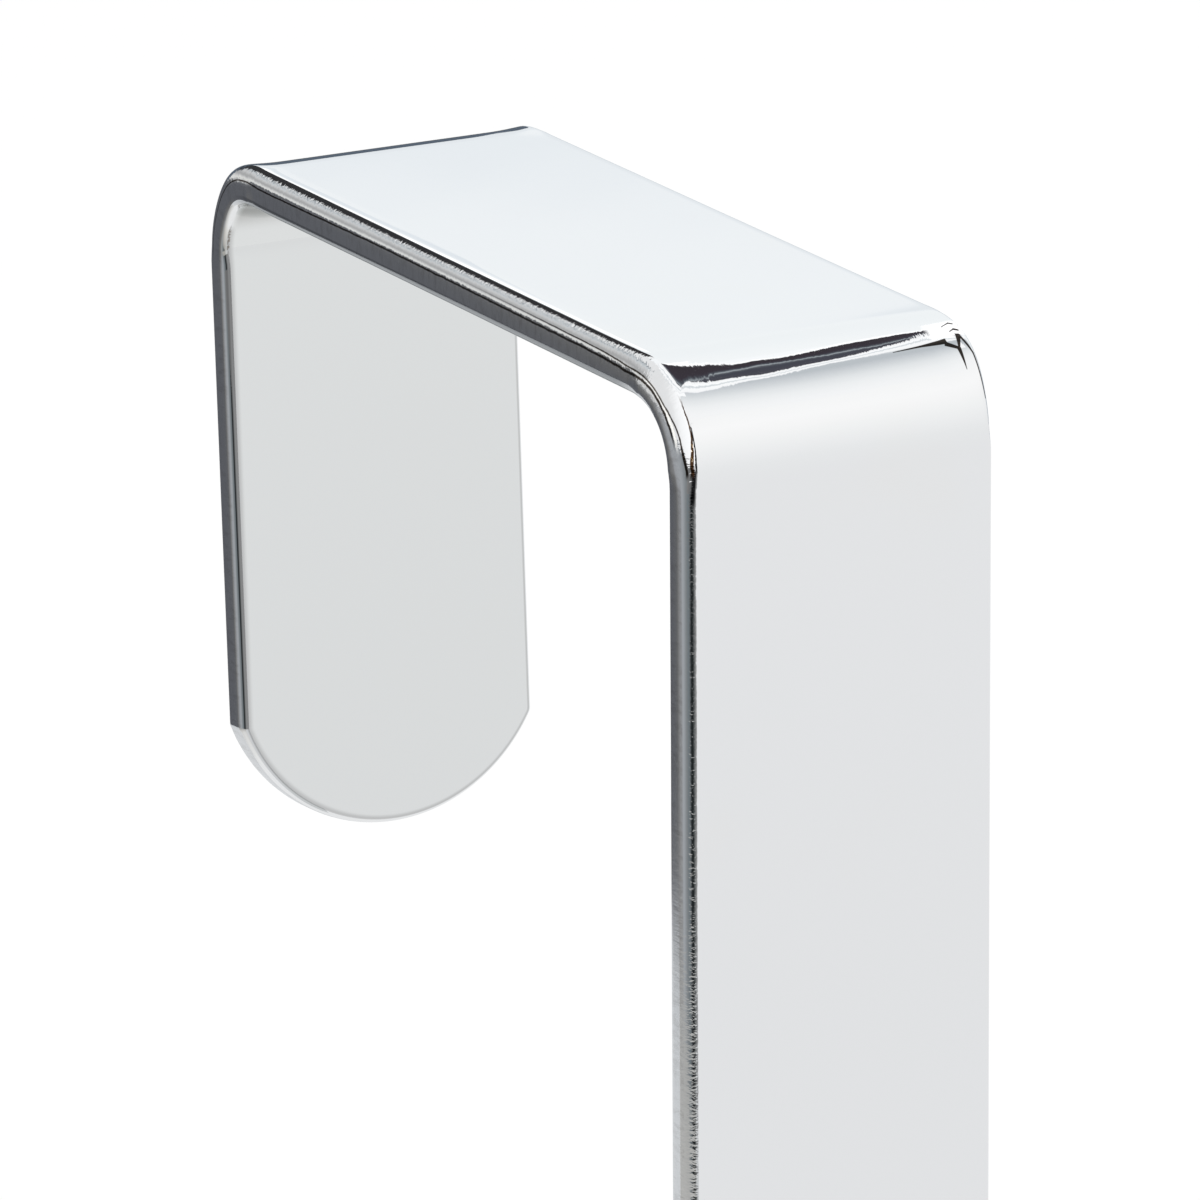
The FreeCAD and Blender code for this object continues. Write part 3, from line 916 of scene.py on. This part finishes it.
def make_card(name, rows, places, stops):
    """Card from rows of corners, which shows only in the chrome.

    places says where each corner is among the stops, which hold the card's shades.
    """
    width = len(rows[0])
    faces = [(at + row * width, at + 1 + row * width, at + 1 + (row + 1) * width,
              at + (row + 1) * width)
             for row in range(len(rows) - 1) for at in range(width - 1)]
    mesh = bpy.data.meshes.new(name)
    mesh.from_pydata([corner for row in rows for corner in row], [], faces)
    values = mesh.attributes.new("place", "FLOAT", "POINT").data
    values.foreach_set("value", np.array(places, np.float32).ravel())
    mesh.materials.append(card_paint(name, stops))
    card = link(name, mesh)
    card.visible_camera = False
    card.visible_diffuse = False
    card.visible_shadow = False


def curved_card(name, azimuths, elevations, distance, upright, graded, stops):
    """Card round the strap, graded by the azimuth or the elevation.

    An upright one keeps its distance on plan, and another keeps it in space.
    """
    turns = np.linspace(*azimuths, CARD_STEPS)
    rows, places = [], []
    for rise in np.linspace(*elevations, CARD_STEPS):
        reach = distance / math.cos(math.radians(rise)) if upright else distance
        rows.append([toward(turn, rise) * reach for turn in turns])
        places.append([turn if graded == "azimuth" else rise for turn in turns])
    make_card(name, rows, places, stops)


def floor_card(name, azimuths, reaches, stops, level):
    """Flat card just above the floor, graded by how far out it is."""
    turns = np.linspace(*azimuths, CARD_STEPS)
    rings = np.linspace(*reaches, FLOOR_STEPS)
    rows = [[toward(turn, 0) * reach + Vector((0, 0, level)) for turn in turns]
            for reach in rings]
    make_card(name, rows, [[reach] * CARD_STEPS for reach in rings], stops)


def overhead_card(name, level, ends, stops):
    """Level card overhead between two ends in X, graded along Y."""
    borders = stops[0][0], stops[-1][0]
    rows = [[(x, y, level) for x in ends] for y in borders]
    make_card(name, rows, [[y, y] for y in borders], stops)


def grey(value):
    """A shade without colour."""
    return (value, value, value)


# How finely the cards are divided, how far the floor reaches each way, how far it lies under the
# strap, and how far the floor cards lie over it.
CARD_STEPS = 25
FLOOR_STEPS = 9
FLOOR_REACH = 3.0
FLOOR_DROP = 0.2 * MM
FLOOR_CARD_LIFT = 1 * MM
# Cards that the chrome reflects: name, azimuths, elevations, distance and whether it is
# upright, the angle that its shade follows, and the shade at some of those angles.
CARDS = (
    ("low_card", (-168, 27), (-24.1, -4), 0.263, True, "azimuth", (
        (-168, grey(0.50)), (-162, grey(0.34)), (-154, grey(0.20)),
        (-147, (0.09, 0.10, 0.10)), (-139, (0.017, 0.02, 0.021)), (-127, (0.026, 0.031, 0.032)),
        (-119, (0.13, 0.14, 0.15)), (-111, (0.19, 0.22, 0.23)), (-103, (0.20, 0.23, 0.25)),
        (-94, (0.24, 0.26, 0.27)), (-85, (0.28, 0.30, 0.31)), (-77, (0.33, 0.35, 0.37)),
        (-69, (0.39, 0.41, 0.43)), (-60, (0.43, 0.45, 0.47)), (-52, (0.39, 0.40, 0.42)),
        (-44, grey(0.24)), (-36, grey(0.155)), (-28, (0.12, 0.125, 0.14)),
        (27, (0.12, 0.125, 0.14)))),
    ("back_leg_card", (-168, -95), (-13, -4), 0.25, False, "azimuth", (
        (-168, grey(0.45)), (-163, grey(0.34)), (-155, grey(0.23)), (-140, grey(0.18)),
        (-112, grey(0.20)), (-95, grey(0.27)))),
    ("camera_card", (-168, -152), (-4, 40), 0.5, True, "azimuth", (
        (-168, grey(0.030)), (-152, grey(0.035)))),
    ("left_panel", (-152, -47), (-4, 80), 0.6, False, "azimuth", (
        (-152, grey(1.30)), (-110, grey(1.25)), (-91, grey(1.19)), (-80, grey(1.11)),
        (-70, grey(1.0)), (-60, grey(0.97)), (-47, grey(0.95)))),
    ("left_card", (-46, -8), (-8, 28.5), 0.30, False, "elevation", (
        (-8, grey(0.125)), (-6.5, grey(0.25)), (-5, grey(0.42)), (-3.5, grey(0.78)),
        (-1, (0.90, 0.90, 0.86)),
        (2, grey(0.68)), (6, grey(0.48)), (9, grey(0.50)), (13, grey(0.62)), (17, grey(0.72)),
        (21, (0.74, 0.77, 0.79)), (24, (0.58, 0.62, 0.65)), (28.5, (0.24, 0.26, 0.28)))),
    ("back_card", (-9, 19), (9, 42), 0.34, False, "elevation", (
        (9, (0.05, 0.052, 0.056)), (42, (0.034, 0.032, 0.034)))),
    ("back_low_card", (-9, 26.4), (-8, 9.5), 0.33, False, "elevation", (
        (-8, (0.12, 0.15, 0.19)), (9.5, (0.11, 0.14, 0.18)))),
    ("rim_card", (19.4, 26.7), (16, 24), 0.5, False, "elevation", (
        (16, (0.90, 0.95, 1.0)), (17.5, (0.93, 0.98, 1.02)), (20, grey(1.3)), (24, grey(1.45)))),
    ("back_right_card", (19, 92), (-16, 52), 0.6, False, "elevation", (
        (-16, (0.42, 0.45, 0.52)), (-8, (0.45, 0.49, 0.56)), (-4, (0.48, 0.53, 0.59)),
        (-1, (0.50, 0.56, 0.62)), (4, (0.79, 0.84, 0.89)), (8, (0.90, 0.94, 0.97)),
        (13.4, (0.94, 0.98, 1.01)), (14.3, (0.98, 1.02, 1.05)), (15, (1.04, 1.07, 1.09)),
        (17, (1.07, 1.10, 1.11)), (24, (1.08, 1.11, 1.12)), (36, (1.11, 1.14, 1.15)),
        (52, (1.17, 1.19, 1.19)))),
    ("front_right_card", (95, 192), (-30, 42), 0.2, True, "elevation", (
        (-30, (0.985, 0.985, 0.99)), (-24, (0.98, 0.98, 0.985)), (-17, (0.995, 0.995, 1.0)),
        (-3, (1.03, 1.035, 1.035)), (5, grey(1.08)), (15, (1.14, 1.14, 1.13)),
        (23, (1.19, 1.18, 1.17)), (31, (1.22, 1.21, 1.20)), (42, (1.19, 1.185, 1.175)))),
)
# Cards that lie just above the floor: name, azimuths, reaches, and shades by the reach.
FLOOR_CARDS = (
    ("floor_front_card", (-192, -150), (0.02, 0.264), (
        (0.02, (0.76, 0.77, 0.78)), (0.264, (0.76, 0.77, 0.78)))),
    ("floor_back_card", (-38, 30), (0.10, 0.264), (
        (0.10, (0.80, 0.81, 0.82)), (0.264, (0.74, 0.76, 0.78)))),
    ("floor_left_card", (-150, -39), (0.07, 0.264), (
        (0.07, (0.98, 0.98, 0.97)), (0.13, (0.80, 0.79, 0.77)), (0.20, (0.60, 0.59, 0.57)),
        (0.264, (0.45, 0.45, 0.44)))),
)
# A dark card with a light strip, held level over the front bend. Each rib, from left to right, is
# where the bend mirrors four places of it, in pixels of the photograph: its far side, the light
# line inside the dark part, where dark meets light, and its near side.
WEDGE_LEVEL = 30 * MM
WEDGE_SEEN = (
    ((660.5, 363.2), (661, 363.5), (661.5, 364), (658, 367)),
    ((666, 364.4), (667, 369), (666.7, 370), (662, 374)),
    ((672, 365.2), (672, 376), (672, 376.7), (667, 381)),
    ((678, 366), (677, 383), (677, 383.7), (673, 388)),
    ((684, 366), (683, 388), (683, 389), (680, 394)),
    ((690, 365.8), (689, 380.3), (688, 381), (686, 392.8)),
    ((700, 365.6), (700, 381), (700, 382), (698, 393.3)),
    ((712, 364.8), (712, 374.5), (712, 381.7), (711, 390.5)),
    ((722, 364.7), (722, 373), (722, 379.8), (722, 388)),
    ((735, 364.7), (736, 370.3), (735, 377.6), (735, 384.3)),
    ((750, 361.6), (750, 367.3), (750, 376), (750, 381)),
    ((765, 359.4), (765, 364.6), (765, 374.1), (765, 378.7)),
    ((783, 357.6), (783, 362.2), (783, 370), (783, 375)),
    ((806, 352.6), (806, 358.5), (806, 364.7), (806, 369)),
    ((830, 347.3), (830, 354.6), (830, 360), (830, 363.8)),
    ((850, 343.2), (850, 350.5), (850, 356), (850, 359.9)),
    ((875, 338.8), (875, 346.5), (875, 349.3), (875, 355.4)),
    ((900, 334.3), (900, 340.5), (900, 342.7), (900, 350.3)),
    ((916, 331.9), (916, 336.5), (916, 337.7), (916, 347.5)),
)
# Its last ribs, past what the bend mirrors clearly, as X and Y in millimetres. The dark part
# ends at the second one.
WEDGE_END = (
    ((22.5, -6.3), (21.6, -9.4), (21.4, -10.2), (20.4, -20.8)),
    ((22.7, -7.3), (22.5, -7.7), (22.4, -8.0), (21.2, -20.6)),
    ((23.6, -8.0), (23.5, -8.2), (23.4, -8.6), (22.5, -20.0)),
)
# The places across it of those four, how far it goes on past its far side, and its rows.
WEDGE_PLACES = (0.0, 0.44, 1.0, 2.0)
WEDGE_MARGIN = 0.12
WEDGE_ROWS = (-WEDGE_MARGIN, 0.0, 0.22, 0.44, 0.62, 0.8, 1.0, 1.25, 1.5, 1.75, 2.0)
# Shades across it, by these places.
WEDGE_SHADES = (
    (-0.12, grey(1.40)), (-0.01, grey(1.40)), (0.01, (0.050, 0.042, 0.050)),
    (0.30, (0.055, 0.047, 0.060)), (0.38, (0.09, 0.10, 0.12)), (0.44, (0.46, 0.50, 0.53)),
    (0.51, (0.13, 0.14, 0.16)), (0.62, (0.075, 0.078, 0.10)), (0.98, (0.085, 0.085, 0.105)),
    (1.01, grey(1.15)), (1.32, grey(1.30)), (1.46, (0.76, 0.81, 0.84)), (1.60, grey(1.25)),
    (1.90, grey(1.20)), (2.0, (0.70, 0.74, 0.78)),
)
# Level cards overhead: name, height, ends in X, and shades by Y.
OVERHEAD_CARDS = (
    ("overhead_card", 0.5, (-0.15, 0.75), (
        (-0.50, (1.19, 1.185, 1.175)), (-0.36, (1.17, 1.17, 1.17)), (-0.27, (1.11, 1.12, 1.12)),
        (-0.19, (0.99, 1.01, 1.02)), (-0.13, (0.83, 0.86, 0.88)), (-0.095, (0.74, 0.77, 0.80)),
        (-0.060, (0.64, 0.68, 0.71)), (-0.020, (0.64, 0.68, 0.71)), (0.010, (1.0, 1.02, 1.03)),
        (0.06, grey(1.25)), (0.30, (1.19, 1.21, 1.22)), (0.50, (1.18, 1.20, 1.21)))),
    ("zenith_card", 0.3, (-0.12, 0.10), ((-0.095, grey(1.25)), (0.05, grey(1.25)))),
)


# The photograph's camera, which was fitted to the strap's edges in it.
CAMERA_PLACE = Vector((-0.245548, -0.455093, 0.138508))
CAMERA_RIGHT = Vector((0.878667, -0.477392, -0.006407))
CAMERA_AHEAD = Vector((0.455855, 0.842864, -0.285966))
SENSOR = 36.0
LENS = 340.73
PHOTO_SIZE = 1200


def camera_axes():
    """The camera's ways right, up and ahead, square to each other."""
    ahead = CAMERA_AHEAD.normalized()
    up = CAMERA_RIGHT.cross(ahead).normalized()
    return ahead.cross(up), up, ahead


class Mirror:
    """Finds what the camera sees mirrored in a mesh."""

    def __init__(self, mesh):
        mesh.calc_loop_triangles()
        self.triangles = [tuple(triangle.vertices) for triangle in mesh.loop_triangles]
        self.points = [vertex.co.copy() for vertex in mesh.vertices]
        self.normals = {corner.vertex_index: normal.vector.copy()
                        for corner, normal in zip(mesh.loops, mesh.corner_normals)}
        self.tree = BVHTree.FromPolygons(self.points, self.triangles, all_triangles=True)

    def on_level(self, pixel, level):
        """X and Y of the place on a level that is mirrored at a pixel of the photograph."""
        right, up, ahead = camera_axes()
        aside, below = ((part - PHOTO_SIZE / 2) * SENSOR / LENS / PHOTO_SIZE for part in pixel)
        way = (ahead + right * aside - up * below).normalized()
        hit, _, index, _ = self.tree.ray_cast(CAMERA_PLACE, way)
        corners = self.triangles[index]
        normal = barycentric_transform(hit, *(self.points[corner] for corner in corners),
                                       *(self.normals[corner] for corner in corners))
        onward = way.reflect(normal.normalized())
        seen = hit + onward * ((level - hit.z) / onward.z)
        return seen.x, seen.y


def wedge_card(mirror):
    """Dark card with a light strip, held just over the front bend."""
    ribs = [[mirror.on_level(pixel, WEDGE_LEVEL) for pixel in rib] for rib in WEDGE_SEEN]
    ribs.extend([(x * MM, y * MM) for x, y in rib] for rib in WEDGE_END)
    columns = []
    for rib in np.array(ribs):
        lead = rib[0] - (rib[1] - rib[0]) * WEDGE_MARGIN / WEDGE_PLACES[1]
        knots = np.vstack([lead, rib]).T
        columns.append([np.interp(WEDGE_ROWS, (-WEDGE_MARGIN, *WEDGE_PLACES), knot)
                        for knot in knots])
    rows = [[(x[at], y[at], WEDGE_LEVEL) for x, y in columns] for at in range(len(WEDGE_ROWS))]
    places = [[place] * len(columns) for place in WEDGE_ROWS]
    make_card("wedge_card", rows, places, WEDGE_SHADES)


def make_floor(colour, level):
    """Square floor under the strap."""
    corners = [(x * FLOOR_REACH, y * FLOOR_REACH, level)
               for x, y in ((-1, -1), (1, -1), (1, 1), (-1, 1))]
    mesh = bpy.data.meshes.new("floor")
    mesh.from_pydata(corners, [], [(0, 1, 2, 3)])
    mesh.materials.append(pale_floor(colour))
    link("floor", mesh)


def make_world(strength):
    """White where the camera sees it, and a plain light from all round."""
    world = bpy.data.worlds.new("studio")
    bpy.context.scene.world = world
    world.use_nodes = True
    shader = Shader(world.node_tree)
    seen = seen_share(shader)
    sky = shader.node("ShaderNodeBackground", None, {
        "Color": (1, 1, 1, 1), "Strength": seen + (1 - seen) * strength})
    shader.node("ShaderNodeOutputWorld", None, {"Surface": sky.outputs[0]})


def soft_light(name, place, power):
    """Square lamp of one metre that faces the strap, and doesn't show in the chrome."""
    lamp = bpy.data.lights.new(name, "AREA")
    lamp.shape = "SQUARE"
    lamp.size = 1.0
    lamp.energy = power
    made = link(name, lamp)
    made.location = place
    made.rotation_euler = (-place).to_track_quat("-Z", "Y").to_euler()
    made.visible_camera = False
    made.visible_glossy = False


def make_studio(light, strap):
    """Floor, cards, world and lamps round the strap's mesh."""
    floor_level = CAD_BOX[0][2] - FLOOR_DROP
    make_floor(light.floor_colour, floor_level)
    for card in CARDS:
        curved_card(*card)
    for card in FLOOR_CARDS:
        floor_card(*card, floor_level + FLOOR_CARD_LIFT)
    wedge_card(Mirror(strap))
    for card in OVERHEAD_CARDS:
        overhead_card(*card)
    make_world(light.sky)
    soft_light("key_light", toward(150, 50) * 1.2, light.key)
    soft_light("fill_light", toward(-130, 60) * 1.3, light.key * 0.4)


def make_camera():
    """Camera at the photograph's place."""
    right, up, ahead = camera_axes()
    camera = bpy.data.cameras.new("camera")
    camera.sensor_width = SENSOR
    camera.lens = LENS
    camera.clip_start = 0.05
    camera.clip_end = 20.0
    made = link("camera", camera)
    made.matrix_world = Matrix.Translation(CAMERA_PLACE) @ Matrix(
        (right, up, -ahead)).transposed().to_4x4()
    bpy.context.scene.camera = made


class DOORHOOK_OT_strap(bpy.types.Operator):
    """Make the plated strap"""

    bl_idname = "doorhook.strap"
    bl_label = "Plated strap"

    def execute(self, context):
        mesh = strap_mesh(context.scene.door_hook_sizes)
        mesh.materials.append(chrome(context.scene.door_hook_finish))
        strap = link("plated_strap", mesh)
        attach(strap, "root")
        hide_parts("hook_strap")
        return {"FINISHED"}


class DOORHOOK_OT_studio(bpy.types.Operator):
    """Make the floor, the light, the cards and the camera"""

    bl_idname = "doorhook.studio"
    bl_label = "Studio"

    def execute(self, context):
        make_studio(context.scene.door_hook_light, context.scene.objects["plated_strap"].data)
        make_camera()
        context.scene.view_settings.view_transform = "Standard"
        return {"FINISHED"}


class DOORHOOK_PT_panel(bpy.types.Panel):
    """Sizes, looks and buttons of the door hook"""

    bl_label = "Door hook"
    bl_idname = "DOORHOOK_PT_panel"
    bl_space_type = "VIEW_3D"
    bl_region_type = "UI"
    bl_category = "Door hook"

    def draw(self, context):
        for settings, operator in (
            ((context.scene.door_hook_sizes, context.scene.door_hook_finish), DOORHOOK_OT_strap),
            ((context.scene.door_hook_light,), DOORHOOK_OT_studio),
        ):
            box = self.layout.box()
            for group in settings:
                for name in group.__annotations__:
                    box.prop(group, name)
            box.operator(operator.bl_idname)


CLASSES = (
    StrapSizes,
    ChromeFinish,
    StudioLight,
    DOORHOOK_OT_strap,
    DOORHOOK_OT_studio,
    DOORHOOK_PT_panel,
)


def register():
    for made in CLASSES:
        bpy.utils.register_class(made)
    bpy.types.Scene.door_hook_sizes = PointerProperty(type=StrapSizes)
    bpy.types.Scene.door_hook_finish = PointerProperty(type=ChromeFinish)
    bpy.types.Scene.door_hook_light = PointerProperty(type=StudioLight)


def unregister():
    del bpy.types.Scene.door_hook_light
    del bpy.types.Scene.door_hook_finish
    del bpy.types.Scene.door_hook_sizes
    for made in reversed(CLASSES):
        bpy.utils.unregister_class(made)


def main():
    register()
    bpy.ops.doorhook.strap()
    bpy.ops.doorhook.studio()


if __name__ == "__main__":
    main()
